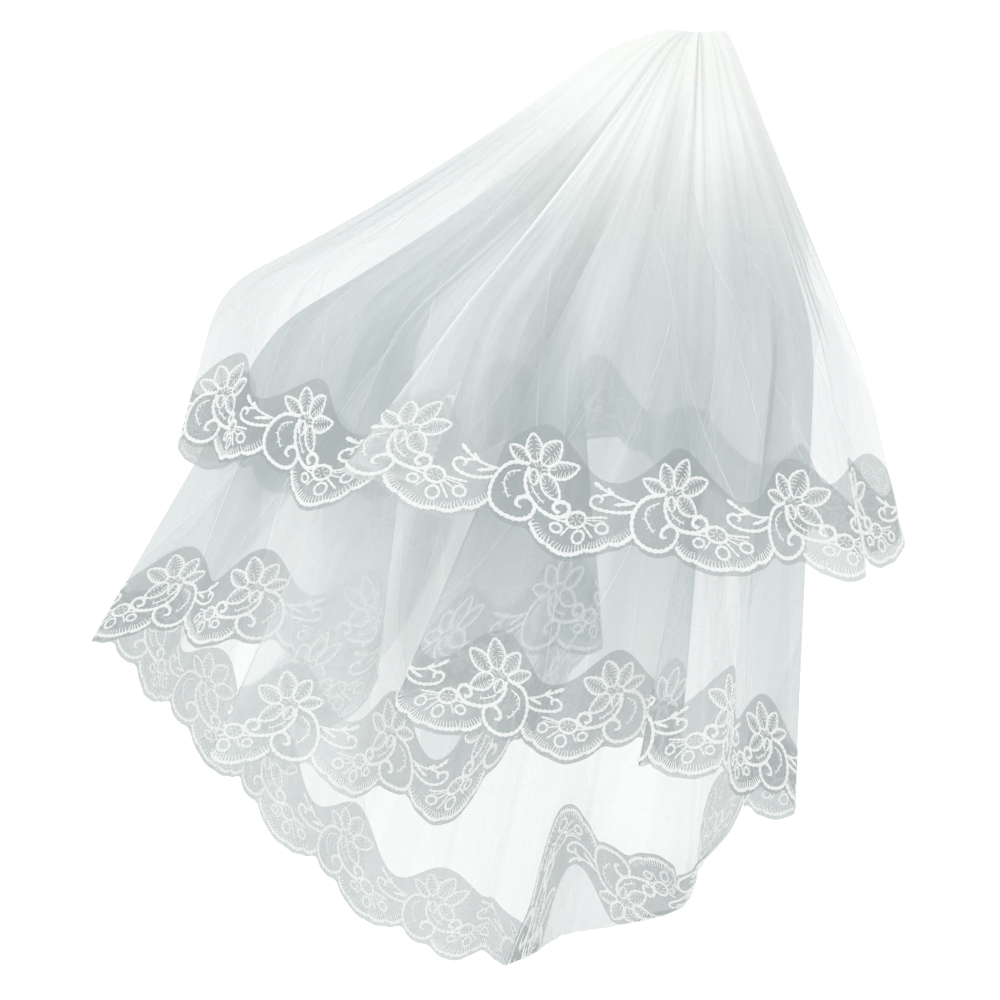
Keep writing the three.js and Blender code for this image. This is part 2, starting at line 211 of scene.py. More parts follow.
for tier in (UPPER_TIER, LOWER_TIER):
    tier["lines"] = fold_lines(tier["folds"])
    print(tier["name"], "tier:", len(tier["lines"]["hem"]), "ridge and valley points")


# %% A smooth closed curve, and the length of each hem along it
HEM_STEPS = 40


def closed_curve(values, place):
    count = len(values)
    start = np.floor(place).astype(int)
    t = place - start
    if values.ndim == 2:
        t = t[:, None]
    a, b, c, d = (values[(start + step) % count] for step in (-1, 0, 1, 2))
    bend = -a + 3 * b - 3 * c + d
    return 0.5 * (2 * b + (c - a) * t + (2 * a - 5 * b + 4 * c - d) * t**2 + bend * t**3)


def run_along(points):
    steps = np.linalg.norm(np.diff(points, axis=0), axis=1)
    return np.concatenate([[0], np.cumsum(steps)])


def measure_hem(tier):
    hems = tier["lines"]["hem"]
    tier["places"] = np.linspace(0, len(hems), len(hems) * HEM_STEPS + 1)
    tier["reach"] = run_along(closed_curve(hems, tier["places"]))
    tier["hem_length"] = tier["reach"][-1]
    tier["repeat"] = tier["hem_length"] / tier["repeats"]


for tier in (UPPER_TIER, LOWER_TIER):
    measure_hem(tier)
    print(tier["name"], "hem", round(tier["hem_length"]), "mm")
    print(tier["name"], "lace repeat", round(tier["repeat"], 1), "mm")

# %% [markdown]
# One function places everything
#
# A point of the cloth is named by how far round the veil it lies, counted in lace repeats, and
# by its length along the cloth, counted from the comb or back from the hem. Straight runs meet
# in rounded bends, and a turned-up hem rolls round its bottom edge. Gathers are deepest just
# below the comb, and a few slow waves run all the way down, because no gathered tulle hangs
# quite smooth.

# %% Sizes of the cloth line and of the lace's wavy top
HEM_ROLL = 14
# Runs are rim to crest, to shoulder, to elbow and to hem: the bend before each of them
BENDS = (0, 16, 40, 50)
LONGEST_BEND = 0.45
SAGGING_RUN = 2
SAG = 0.0001
MIDDLE_X = -185
# How far the elbow line reaches from the comb to the left, to the right, and in depth
SPREAD_LEFT = 445
SPREAD_RIGHT = 135
SPREAD_DEPTH = 185
PLEAT_PEAK = 0.1
LACE_HIGH = 112
LACE_LOW = 72
FLOWER_PHASE = 0.33
# Count for each repeat, share of the pleat's depth, start
FINE_GATHERS = ((3.0, 0.3, 0.3), (5.0, 0.15, 0.7))
# Count round the veil, depth in millimetres, start
SLOW_WAVES = ((37, 2.4, 0.1), (53, 1.8, 0.55), (89, 0.9, 0.3))


def unit(vectors):
    return vectors / np.linalg.norm(vectors, axis=1)[:, None]


def wave(phase, peak):
    return 0.5 + 0.5 * np.cos(2 * np.pi * (phase - peak))


def lace_phase(tier, around):
    return np.mod(tier["lace_turn"] * around + tier["lace_start"], 1)


def lace_top(phase):
    return LACE_LOW + (LACE_HIGH - LACE_LOW) * wave(phase, FLOWER_PHASE)


print("lace is", round(float(lace_top(FLOWER_PHASE))), "mm deep at a flower")


# %% Stations that a cloth line runs through, and a point along it
def hem_place(tier, around):
    reach = np.mod(around / tier["repeats"], 1) * tier["hem_length"]
    return np.interp(reach, tier["reach"], tier["places"]), reach


def stations(tier, around):
    place, _ = hem_place(tier, around)
    lines = tier["lines"]
    elbow = closed_curve(lines["elbow"], place)
    hem = closed_curve(lines["hem"], place)
    turn = np.maximum(closed_curve(lines["turn"], place), 0)
    spread = np.where(elbow[:, 0] < 0, SPREAD_LEFT, SPREAD_RIGHT)
    angle = np.arctan2(elbow[:, 1] / SPREAD_DEPTH, elbow[:, 0] / spread)
    cosine = np.cos(angle)

    def ring(oval, left=1.0):
        half_x, half_y, height = oval
        stretch = np.where(cosine < 0, left, 1.0)
        level = np.full_like(angle, height)
        return np.stack([half_x * cosine * stretch, half_y * np.sin(angle), level], 1)

    shoulder = ring(tier["shoulder"], tier["shoulder_left"])
    return [ring(tier["rim"]), ring(tier["crest"]), shoulder, elbow, hem], turn


def cloth_points(tier, around, length_of):
    points, turn = stations(tier, around)
    runs = [after - before for before, after in zip(points, points[1:])]
    lengths = [np.linalg.norm(run, axis=1) for run in runs]
    ways = [run / length[:, None] for run, length in zip(runs, lengths)]
    to_hem = sum(lengths)
    whole = to_hem + turn
    length = length_of(whole)
    along = np.minimum(length, to_hem)
    place = points[0].copy()
    start = np.zeros_like(along)
    for i, way in enumerate(ways):
        done = np.clip(along - start, 0, lengths[i])
        place += way * done[:, None]
        if i == SAGGING_RUN:
            reach = np.hypot(way[:, 0], way[:, 1])
            place[:, 2] -= 4 * SAG * reach**2 * done * (lengths[i] - done)
        if i:
            room = LONGEST_BEND * np.minimum(lengths[i - 1], lengths[i])
            bend = np.minimum(BENDS[i], room)
            near = np.maximum(1 - np.abs(along - start) / bend, 0)
            place += (way - ways[i - 1]) * (near**2 * bend / 4)[:, None]
        start = start + lengths[i]
    over = np.maximum(length - to_hem, 0)
    roll = np.minimum(over / HEM_ROLL, np.pi)
    outward = unit((points[4] - (MIDDLE_X, 0, 0)) * (1, 1, 0))
    place += outward * (HEM_ROLL * (np.cos(roll) - 1))[:, None]
    place[:, 2] += np.maximum(over - np.pi * HEM_ROLL, 0) - HEM_ROLL * np.sin(roll)

    share = np.clip(length / (whole - lace_top(lace_phase(tier, around))), 0, 1)
    opened = share / PLEAT_PEAK * np.exp(1 - share / PLEAT_PEAK)
    ripple = np.cos(2 * np.pi * around)
    for count, size, start in FINE_GATHERS:
        ripple = ripple + size * np.cos(2 * np.pi * (count * around + start))
    push = tier["pleat"] * opened * ripple
    turns = around / tier["repeats"]
    for count, size, start in SLOW_WAVES:
        swell = np.sin(np.pi * share) * np.cos(2 * np.pi * (count * turns + start))
        push = push + size * swell
    out = unit(points[2] * (1, 1, 0))
    return place + out * push[:, None], whole


_, right_length = cloth_points(UPPER_TIER, np.array([0.0]), lambda whole: whole)
print("upper tier, length at the right turn:", round(float(right_length[0])), "mm")

# %% The way that the cloth faces, from four points close round the place
FACING_STEP = 1.5


def cloth_facing(tier, around, length_of):
    aside = FACING_STEP / tier["repeat"]

    def moved(step):
        return lambda whole: np.clip(length_of(whole) + step, 0, whole)

    right, _ = cloth_points(tier, around + aside, length_of)
    left, _ = cloth_points(tier, around - aside, length_of)
    above, _ = cloth_points(tier, around, moved(-FACING_STEP))
    below, _ = cloth_points(tier, around, moved(FACING_STEP))
    return unit(np.cross(right - left, below - above))


print("right turn faces", cloth_facing(UPPER_TIER, np.array([0.0]), lambda whole: whole / 2))

# %% [markdown]
# The lace, charted once
#
# One repeat of the edging holds a six-petalled flower, a C-scroll that sweeps down to the hem,
# an S-shaped stem, a rosette with three loops, a small hook with leaves and a scalloped edge
# cord with a ladder of stitches. It could be a texture, but embroidery stands off the net and
# catches light, so each stroke is a real thread. The chart is a short list of strokes in
# millimetres: how far along the repeat, how far above the hem, and how wide.

# %% Chart of the scrolls and thorns
REPEAT_LENGTH = 137
CORD = 3.9
THREAD = 2.6
BOLD_THREAD = 3.2
FINE_THREAD = 1.8

SCROLLS = {
    # name: (width, points along the stroke)
    "c_scroll": (CORD, [(30, 64), (13, 60), (3, 49), (0, 34), (5, 21), (17, 14), (31, 13.5),
                        (42, 20), (45.5, 29), (42, 35), (34, 35.5), (28, 31), (28, 26), (32, 25)]),
    "stem": (CORD, [(31, 62), (30, 50), (36, 39), (47, 32), (60, 29.5), (70, 31), (76.5, 37),
                    (74, 43.5), (67, 44), (62.5, 39.5), (64, 35), (68.5, 35)]),
    "hook": (BOLD_THREAD, [(137, 44), (123, 40), (110, 39.5), (100, 42), (96, 47), (99, 51.5),
                           (105, 52), (108, 49), (106, 46.5)]),
    "sprig": (THREAD, [(139, 52), (128, 52.5), (116, 55), (107, 58.5), (97, 64)]),
    "c_vine": (FINE_THREAD, [(24, 56), (14, 51), (11.5, 43), (14.5, 36), (20, 29)]),
    "stem_vine": (FINE_THREAD, [(37, 47), (44, 41.5), (53, 37.5)]),
}
SCROLL_ENDS = ((32, 25.3), (68, 35.3), (106.5, 47))
THORNS = [
    # foot, tip
    ((19, 54), (18.5, 50)), ((14, 51), (16, 47)), ((12, 46), (15, 44)), ((12, 41), (9, 40)),
    ((14, 37), (17, 36.5)), ((16, 34), (13.5, 32)), ((19, 30.5), (21.5, 32)),
    ((40, 44.5), (39, 41)), ((44, 41.5), (46, 44)), ((48, 39.5), (47.5, 36)),
    ((51, 38), (53, 40.5)),
]
print("scrolls and thorns:", len(SCROLLS) + len(THORNS))

# %% Chart of the flower, the rosette and the leaves
PETALS = [
    # base, tip, width
    ((31, 65), (6, 75), 12), ((36, 68), (25, 91), 17), ((42, 69), (57, 95), 19),
    ((50, 65), (79, 78), 15), ((45, 61), (66, 45), 16), ((36, 62), (39, 48), 10),
]
STAMENS = [
    # foot, tip
    ((39, 65), (34, 76)), ((42, 66), (48, 77)), ((38, 64), (28, 70)), ((43, 64), (56, 69)),
    ((42, 62), (49, 56)), ((39, 62), (39, 55)), ((41, 66), (41, 74)),
]
ROSETTE = {"middle": (85, 30.5), "half_sizes": (9.5, 7), "rays": 6, "ray": (0.25, 0.75)}
LOOPS = [
    # middle, half sizes
    ((68, 21), (5.2, 4.0)), ((89.5, 15), (5.8, 5.8)), ((111, 23.5), (5.6, 4.6)),
]
LEAF_STROKES = [
    # foot, tip, width
    ((76, 28), (58, 28.5), 2.2), ((79, 24), (73, 15), 2.0), ((95, 32), (115, 33.5), 2.4),
    ((94, 28.5), (105.5, 24.5), 1.8), ((93, 25), (104, 14), 2.2), ((96, 30), (113, 30), 1.3),
    ((136, 51), (119, 46), 3.2), ((116, 55), (106, 52.5), 2.6), ((107, 58.5), (97, 64.5), 4.0),
    ((118, 55), (111, 60), 3.0),
]
print("petals, stamens and leaves:", len(PETALS) + len(STAMENS) + len(LEAF_STROKES))

# %% Chart of the edge, and the height of the cloth's cut edge with it
EDGE_LOBES = [
    # start, low point, end of each small scallop of the edge cord
    ((44, 17), (53, 7.5), (63, 4.5)), ((63, 4.5), (80, -1.0), (98, 3)),
    ((98, 3), (109, 4.0), (119, 11.5)), ((119, 11.5), (129, 13.5), (139, 24)),
]
EDGE_UNDER_SCROLL = [(0, 29), (5, 21), (17, 14), (31, 13.5), (42, 18), (46, 16)]
EDGE_UNDER_LOBES = [point for lobe in EDGE_LOBES for point in lobe[1:]]
EDGE_ALONG, EDGE_ABOVE = np.array(EDGE_UNDER_SCROLL + EDGE_UNDER_LOBES, float).T
EDGE_SOFTENING = 6


def edge_height(tier, around):
    along = lace_phase(tier, around) * REPEAT_LENGTH
    heights = [
        np.interp(np.mod(along + shift, REPEAT_LENGTH), EDGE_ALONG, EDGE_ABOVE)
        for shift in range(-EDGE_SOFTENING, EDGE_SOFTENING + 1, 2)
    ]
    return np.mean(heights, axis=0)


print("the cut edge rises by", round(float(EDGE_ABOVE.max() - EDGE_ABOVE.min())), "mm")

# %% [markdown]
# Tulle as one thin sheet
#
# Tulle is a net so fine that the eye sees a haze. A solid wall with glass-like depth would
# show two skins, so each tier is one layer of faces. How dense the haze is follows from the
# gathers: where a hem of 2.4 or 3.2 m is drawn in to 20 cm, at least twelve times as much
# thread lies in front of the eye. That crowding is measured and kept as a mark on the mesh,
# with three more: the white heading near the comb, bunched cloth and creases.

# %% A mesh from rows and columns of points
MM = 0.001


def mesh_object(name, points, faces, **marks):
    mesh = bpy.data.meshes.new(name)
    mesh.from_pydata((points * MM).tolist(), [], faces)
    for mark_name, values in marks.items():
        layer = mesh.attributes.new(mark_name, "FLOAT", "POINT")
        layer.data.foreach_set("value", np.asarray(values, np.float32))
    mesh.shade_smooth()
    piece = bpy.data.objects.new(name, mesh)
    bpy.context.scene.collection.objects.link(piece)
    return piece


def ring_faces(rows, columns):
    row, column = np.meshgrid(np.arange(rows - 1), np.arange(columns), indexing="ij")
    across = (column + 1) % columns
    corners = [row * columns + column, row * columns + across]
    corners += [(row + 1) * columns + across, (row + 1) * columns + column]
    return np.stack(corners, -1).reshape(-1, 4).tolist()


def corner_points(piece):
    corner = np.empty(len(piece.data.loops), np.int64)
    piece.data.loops.foreach_get("vertex_index", corner)
    return corner


def add_map(piece, name, places):
    layer = piece.data.uv_layers.new(name=name)
    layer.data.foreach_set("uv", places.astype(np.float32).ravel())


def add_cloth_map(piece, columns, across, down):
    corner = corner_points(piece)
    column = corner % columns
    face_first = np.repeat(column.reshape(-1, 4)[:, 0], 4)
    seam = (face_first == columns - 1) & (column == 0)
    u = across[corner] + np.where(seam, across.max() + across[1], 0)
    add_map(piece, "cloth", np.stack([u, down[corner]], 1))


print("faces in a ring of 3 rows and 4 columns:", len(ring_faces(3, 4)))

# %% Marks for the net: crowding, bunched cloth and creases
# Columns on each side over which the crowding is evened out
CROWD_REACH = 9
MOST_CROWDED = 14
CREASE_WIDTH = 7


def crowding(points, rows, columns):
    grid = points.reshape(rows, columns, 3)
    width = np.linalg.norm(np.roll(grid, -1, 1) - grid, axis=2)
    shifts = range(-CROWD_REACH, CROWD_REACH + 1)
    smooth = sum(np.roll(width, shift, 1) for shift in shifts) / len(shifts)
    flat = smooth[-1].mean()
    return np.clip(flat / smooth, 1, MOST_CROWDED).ravel()


def creases(tier, around):
    _, reach = hem_place(tier, around)
    strength = np.zeros_like(reach)
    for line, creased in enumerate(tier["lines"]["creased"]):
        if creased:
            away = np.abs(reach - np.interp(line, tier["places"], tier["reach"]))
            away = np.minimum(away, tier["hem_length"] - away)
            near = np.clip(1 - away / CREASE_WIDTH, 0, 1)
            strength = np.maximum(strength, creased * near)
    return strength


def lapping(tier, around):
    place, _ = hem_place(tier, around)
    return np.clip(closed_curve(tier["lines"]["lapped"], place), 0, 1)


print("lapped at the right turn:", lapping(UPPER_TIER, np.array([0.0])))

# %% Hang the two sheets of tulle
TULLE_COLUMNS_PER_REPEAT = 36
TULLE_ROWS = 96
# Rows stand closer together towards the comb, where the gathers are
ROWS_TOWARDS_COMB = 1.35
# Shares of the cloth's length from which a lap shows, and at which it shows fully
LAP_SHOWS = (0.3, 0.8)
LAPPED_OPENING = 0.35
# Length from the comb at which the white heading ends, and over which it fades
HEADING_END = 310
HEADING_FADE = 200


def hang_tulle(tier):
    columns = tier["repeats"] * TULLE_COLUMNS_PER_REPEAT
    shares = np.linspace(0, 1, TULLE_ROWS) ** ROWS_TOWARDS_COMB
    around, share = np.meshgrid(np.arange(columns) / TULLE_COLUMNS_PER_REPEAT, shares)
    around, share = around.ravel(), share.ravel()
    rise = edge_height(tier, around)
    points, whole = cloth_points(tier, around, lambda whole: share * (whole - rise))
    first, full = LAP_SHOWS
    lapped = lapping(tier, around) * np.clip((share - first) / (full - first), 0, 1)
    piece = mesh_object(
        tier["name"] + "_tulle", points, ring_faces(TULLE_ROWS, columns),
        crowding=crowding(points, TULLE_ROWS, columns) * (1 - LAPPED_OPENING * lapped),
        heading=np.clip((HEADING_END - share * whole) / HEADING_FADE, 0, 1),
        lapped=lapped,
        crease=creases(tier, around),
    )
    add_cloth_map(piece, columns, around * tier["repeat"] * MM, share * whole * MM)
    return piece


upper_tulle = hang_tulle(UPPER_TIER)
lower_tulle = hang_tulle(LOWER_TIER)
print("tulle faces:", len(upper_tulle.data.polygons), len(lower_tulle.data.polygons))

# %% [markdown]
# Lace ground
#
# The edging is worked on a strip of net of its own, sewn over the tulle. It could be left out,
# but the photo shows it as a greyer band with a wavy top that rises round each flower. It
# lies half a millimetre outside the tier.

# %% Lay the second net on the tulle
GROUND_COLUMNS_PER_REPEAT = 36
GROUND_ROWS = 20
GROUND_OFFSET = 0.5


def lay_ground(tier):
    columns = tier["repeats"] * GROUND_COLUMNS_PER_REPEAT
    steps = np.linspace(0, 1, GROUND_ROWS)
    around, down = np.meshgrid(np.arange(columns) / GROUND_COLUMNS_PER_REPEAT, steps)
    around, down = around.ravel(), down.ravel()
    top = lace_top(lace_phase(tier, around))
    height = top * (1 - down) + edge_height(tier, around) * down

    def length_of(whole):
        return whole - height

    points, _ = cloth_points(tier, around, length_of)
    points += cloth_facing(tier, around, length_of) * GROUND_OFFSET
    faces = ring_faces(GROUND_ROWS, columns)
    name = tier["name"] + "_lace_ground"
    piece = mesh_object(name, points, faces, lapped=lapping(tier, around))
    add_cloth_map(piece, columns, around * tier["repeat"] * MM, height * MM)
    return piece


upper_ground = lay_ground(UPPER_TIER)
lower_ground = lay_ground(LOWER_TIER)
print("ground faces:", len(upper_ground.data.polygons), len(lower_ground.data.polygons))

# %% [markdown]
# Threads of embroidery
#
# A real stroke is a flattened cord that goes through the net, so it shows on both sides. It
# could be a curve with a round bevel, but that is heavy for the same stroke forty times over.
# Here a low section with six sides is carried along the smoothed route. A petal is an
# outline and two rows of short slanted stitches that leave its middle open, and stamens end
# in knots. One repeat is stitched flat.

# %% Smooth a route in the chart
STROKE_STEP = 2.2
ROUTE_DETAIL = 12
# The curve is a closed one, so an open route ends a hair before its last point
NEARLY_ALL = 1 - 1e-9


def smooth_route(points, closed=False):
    points = np.array(points, float)
    if closed:
        places = np.linspace(0, len(points), len(points) * ROUTE_DETAIL + 1)[:-1]
        dense = closed_curve(points, places)
        dense = np.vstack([dense, dense[:1]])
    else:
        ends = np.vstack([2 * points[0] - points[1], points, 2 * points[-1] - points[-2]])
        spans = len(points) - 1
        places = 1 + np.linspace(0, spans, spans * ROUTE_DETAIL + 1) * NEARLY_ALL
        dense = closed_curve(ends, places)
    run = run_along(dense)
    count = max(int(round(run[-1] / STROKE_STEP)), 2)
    want = np.linspace(0, run[-1], count + 1)
    return np.stack([np.interp(want, run, dense[:, axis]) for axis in (0, 1)], 1)


print("points along the C-scroll:", len(smooth_route(SCROLLS["c_scroll"][1])))

# %% A chart that turns strokes into threads
# Six corners round the thread: share of its width aside, share of its height up
SECTION = ((-0.5, 0.0), (-0.3, 0.6), (0.3, 0.6), (0.5, 0.0), (0.3, -0.5), (-0.3, -0.5))
CORD_HEIGHT = 0.34
THREAD_ROUGHNESS = 0.25
THREAD_BEAT = 2.4
END_TAPER = 0.6
TINY = 1e-9


class ThreadChart:
    def __init__(self):
        self.points = []
        self.faces = []
        self.maps = []
        self.count = 0

    def stroke(self, route, width, height=None, taper=END_TAPER):
        route = np.asarray(route, float)
        ahead = np.gradient(route, axis=0)
        ahead /= np.linalg.norm(ahead, axis=1)[:, None] + TINY
        aside = np.stack([-ahead[:, 1], ahead[:, 0]], 1)
        steps = len(route)
        full = 1 + THREAD_ROUGHNESS * np.sin(THREAD_BEAT * np.arange(steps))
        full[0] = full[-1] = taper
        tall = (CORD_HEIGHT * width if height is None else height) / SECTION[1][1]
        run = run_along(route)
        for k, (side, up) in enumerate(SECTION):
            flat = route + aside * (side * width * full)[:, None]
            self.points.append(np.column_stack([flat, up * tall * full]))
            self.maps.append(np.column_stack([run, np.full(steps, k * width / 2)]))
        self.close_thread(steps)

    def close_thread(self, steps):
        sides = len(SECTION)
        base = self.count
        for k in range(sides):
            left, right = base + k * steps, base + (k + 1) % sides * steps
            for i in range(steps - 1):
                self.faces.append((left + i, right + i, right + i + 1, left + i + 1))
        self.faces.append(tuple(base + k * steps for k in reversed(range(sides))))
        self.faces.append(tuple(base + k * steps + steps - 1 for k in range(sides)))
        self.count += sides * steps

    def arrays(self):
        return np.vstack(self.points), self.faces, np.vstack(self.maps)


print("corners round a thread:", len(SECTION))

# %% Stitches of a flower
PETAL_STEPS = 9
# Under 1, the widest place moves towards the base
PETAL_WIDEST = 0.85
# Under 1, the outline is fuller
PETAL_FULLNESS = 0.75
PETAL_PITCH = 1.9
PETAL_STITCHED = (0.2, 0.93)
PETAL_REACH = (0.45, 0.8)
PETAL_SLANT = 1.2
STITCH = 1.6
STITCH_HEIGHT = 0.6
STAMEN_HEIGHT = 0.9
KNOT = 2.6
KNOT_HEIGHT = 1.2
KNOT_REACH = 0.8


def petal_half(width, t):
    return width / 2 * np.sin(np.pi * t**PETAL_WIDEST) ** PETAL_FULLNESS


def stitch_petal(chart, base, tip, width):
    base, tip = np.array(base, float), np.array(tip, float)
    length = np.linalg.norm(tip - base)
    way = (tip - base) / length
    aside = np.array((-way[1], way[0]))
    t = np.linspace(0, 1, PETAL_STEPS)
    middle = base + np.outer(t * length, way)
    half = np.outer(petal_half(width, t), aside)
    chart.stroke(smooth_route(middle + half), THREAD)
    chart.stroke(smooth_route(middle - half), THREAD)
    for k, t in enumerate(np.arange(*PETAL_STITCHED, PETAL_PITCH / length)):
        for side in (-1, 1):
            edge = aside * side * petal_half(width, t)
            foot = base + way * (t * length) + edge
            inner = foot - edge * PETAL_REACH[k % 2] + way * PETAL_SLANT
            chart.stroke([foot, inner], STITCH, STITCH_HEIGHT)


def stitch_flower(chart):
    for base, tip, width in PETALS:
        stitch_petal(chart, base, tip, width)
    for foot, tip in STAMENS:
        chart.stroke([foot, tip], STITCH, STAMEN_HEIGHT)
        chart.stroke([tip, (tip[0] + KNOT_REACH, tip[1] + KNOT_REACH)], KNOT, KNOT_HEIGHT)


print("stitches end at", PETAL_STITCHED[1], "of a petal's length")

# %% Stitches of the scrolls, the rosette and the leaves
OVAL_STEPS = 10
SCROLL_KNOT = 3.6
SCROLL_KNOT_REACH = 1.3
THORN_HEIGHT = 0.5


def oval(middle, half_sizes):
    angle = np.linspace(0, 2 * np.pi, OVAL_STEPS, endpoint=False)
    return np.array(middle) + np.stack([np.cos(angle), np.sin(angle)], 1) * half_sizes


def stitch_scrolls(chart):
    for width, points in SCROLLS.values():
        chart.stroke(smooth_route(points), width)
    for x, y in SCROLL_ENDS:
        ends = [(x - SCROLL_KNOT_REACH, y), (x + SCROLL_KNOT_REACH, y)]
        chart.stroke(ends, SCROLL_KNOT, KNOT_HEIGHT)
    for foot, tip in THORNS:
        chart.stroke([foot, tip], FINE_THREAD, THORN_HEIGHT)
    middle, half = np.array(ROSETTE["middle"]), np.array(ROSETTE["half_sizes"])
    chart.stroke(smooth_route(oval(middle, half), closed=True), BOLD_THREAD, taper=1)
    near, far = ROSETTE["ray"]
    for k in range(ROSETTE["rays"]):
        angle = 2 * math.pi * (k + 0.5) / ROSETTE["rays"]
        ray = half * (math.cos(angle), math.sin(angle))
        chart.stroke([middle + ray * near, middle + ray * far], STITCH, STITCH_HEIGHT)
    for loop_middle, loop_half in LOOPS:
        chart.stroke(smooth_route(oval(loop_middle, loop_half), closed=True), THREAD, taper=1)
    for foot, tip, width in LEAF_STROKES:
        chart.stroke(smooth_route([foot, tip]), width)


print("corners of an oval:", len(oval((0, 0), (1, 1))))

# %% Stitches of the edge, and all three charts
LOBE_STEPS = 9
LADDER_PITCH = 1.8
LADDER_REACH = (5.2, 8.0)
LADDER_LEAN = 1.3


def lobe_route(start, low, end):
    start, low, end = (np.array(point, float) for point in (start, low, end))
    control = 2 * low - (start + end) / 2
    t = np.linspace(0, 1, LOBE_STEPS)[:, None]
    return smooth_route((1 - t) ** 2 * start + 2 * t * (1 - t) * control + t**2 * end)


def point_on(route, run, reached):
    return np.array([np.interp(reached, run, route[:, axis]) for axis in (0, 1)])


def stitch_edge(chart):
    for lobe in EDGE_LOBES:
        route = lobe_route(*lobe)
        chart.stroke(route, CORD)
        run = run_along(route)
        for k, reached in enumerate(np.arange(0, run[-1], LADDER_PITCH)):
            foot = point_on(route, run, reached)
            way = point_on(route, run, reached + 1) - foot
            way = way / (np.linalg.norm(way) + TINY)
            up = np.array((-way[1], way[0]))
            lean = LADDER_LEAN if k % 2 else -LADDER_LEAN
            tip = foot + up * LADDER_REACH[k % 2] + way * lean
            chart.stroke([foot, tip], STITCH, STITCH_HEIGHT)


charts = {}
stitching = {"flowers": stitch_flower, "scrolls": stitch_scrolls, "edge": stitch_edge}
for part, stitch in stitching.items():
    chart = ThreadChart()
    stitch(chart)
    charts[part] = chart.arrays()
    print(part, "of one repeat:", len(charts[part][0]), "points")

# %% [markdown]
# Bend the chart round the veil
#
# The real edging is the same repeat again and again. A modifier could bend it, but the same
# function that placed the net lays each repeat on the cloth exactly. The lower tier's lace
# runs the other way round, as in the photo.

# %% Embroider each tier
THREAD_OFFSET = 0.3
# Net that shows below the edge cord
NET_MARGIN = 7


def embroider(tier, chart_arrays, name):
    flat, faces, maps = chart_arrays
    count, repeats, turn = len(flat), tier["repeats"], tier["lace_turn"]
    along, above, rise = np.tile(flat, (repeats, 1)).T
    phase = along / REPEAT_LENGTH + np.repeat(np.arange(repeats), count)
    around = turn * (phase - tier["lace_start"])
    height = above + NET_MARGIN

    def length_of(whole):
        return whole - height

    points, _ = cloth_points(tier, around, length_of)
    points += cloth_facing(tier, around, length_of) * (rise + THREAD_OFFSET)[:, None]
    all_faces = []
    for i in range(repeats):
        for face in faces:
            corners = [corner + i * count for corner in face]
            all_faces.append(corners if turn < 0 else corners[::-1])
    piece = mesh_object(name, points, all_faces)
    add_map(piece, "thread", maps[corner_points(piece) % count] * MM)
    return piece


threads = []
for tier in (UPPER_TIER, LOWER_TIER):
    for part, arrays in charts.items():
        threads.append(embroider(tier, arrays, tier["name"] + "_lace_" + part))
for piece in (upper_tulle, lower_tulle, upper_ground, lower_ground, *threads):
    triangles = sum(len(polygon.vertices) - 2 for polygon in piece.data.polygons)
    print(piece.name, triangles, "triangles")

# %% [markdown]
# The net's weave
#
# Real tulle is a net with holes of about two millimetres. Cut as geometry they would take
# millions of faces, so a pattern in the alpha stands for them. The tiers and the lace ground
# both need it, so it is a node group. It also draws the marks of cloth that has lain folded.


# %% Small helpers for node trees
def new_group(name, inputs, outputs):
    group = bpy.data.node_groups.new(name, "ShaderNodeTree")
    for socket, kind, value in inputs:
        made = group.interface.new_socket(socket, in_out="INPUT", socket_type=kind)
        if value is not None:
            made.default_value = value
    for socket, kind in outputs:
        group.interface.new_socket(socket, in_out="OUTPUT", socket_type=kind)
    return group, group.nodes.new("NodeGroupInput"), group.nodes.new("NodeGroupOutput")


def feed(tree, socket, value):
    if isinstance(value, (int, float, tuple)):
        socket.default_value = value
    else:
        tree.links.new(value, socket)


def math_node(tree, operation, first, second=None, clamp=False):
    node = tree.nodes.new("ShaderNodeMath")
    node.operation = operation
    node.use_clamp = clamp
    feed(tree, node.inputs[0], first)
    if second is not None:
        feed(tree, node.inputs[1], second)
    return node.outputs[0]


def add(tree, first, second, clamp=False):
    return math_node(tree, "ADD", first, second, clamp)


def multiply(tree, first, second):
    return math_node(tree, "MULTIPLY", first, second)


def split_map(tree, vector):
    split = tree.nodes.new("ShaderNodeSeparateXYZ")
    tree.links.new(vector, split.inputs[0])
    return split.outputs[0], split.outputs[1]


print("node groups so far:", len(bpy.data.node_groups))

# %% Group for the weave and the fold marks
TULLE_MESH = 0.0018
FOLD_MARKS = 0.05
# Spacing and width of the marks in metres, first round the veil and then down it
MARKS_ROUND = (0.19, 0.0007)
MARKS_DOWN = (0.155, 0.0006)
MARKS_START = 0.06


def make_net_group():
    group, start, end = new_group(
        "net",
        [
            ("Map", "NodeSocketVector", None),
            ("Mesh", "NodeSocketFloat", TULLE_MESH),
            ("Crease", "NodeSocketFloat", FOLD_MARKS),
        ],
        [("Weave", "NodeSocketFloat"), ("Creases", "NodeSocketFloat")],
    )
    across, down = split_map(group, start.outputs["Map"])
    u = math_node(group, "DIVIDE", across, start.outputs["Mesh"])
    v = math_node(group, "DIVIDE", down, start.outputs["Mesh"])
    bars = []
    for slant in ("ADD", "SUBTRACT"):
        angle = multiply(group, math_node(group, slant, u, v), math.pi)
        bar = math_node(group, "SINE", angle)
        bars.append(multiply(group, bar, bar))
    group.links.new(multiply(group, *bars), end.inputs["Weave"])
    shifted = add(group, down, MARKS_START)
    marks = []
    for place, (spacing, width) in ((across, MARKS_ROUND), (shifted, MARKS_DOWN)):
        folded = math_node(group, "PINGPONG", place, spacing)
        marks.append(math_node(group, "LESS_THAN", folded, width))
    lines = math_node(group, "MAXIMUM", *marks)
    group.links.new(multiply(group, lines, start.outputs["Crease"]), end.inputs["Creases"])
    return group


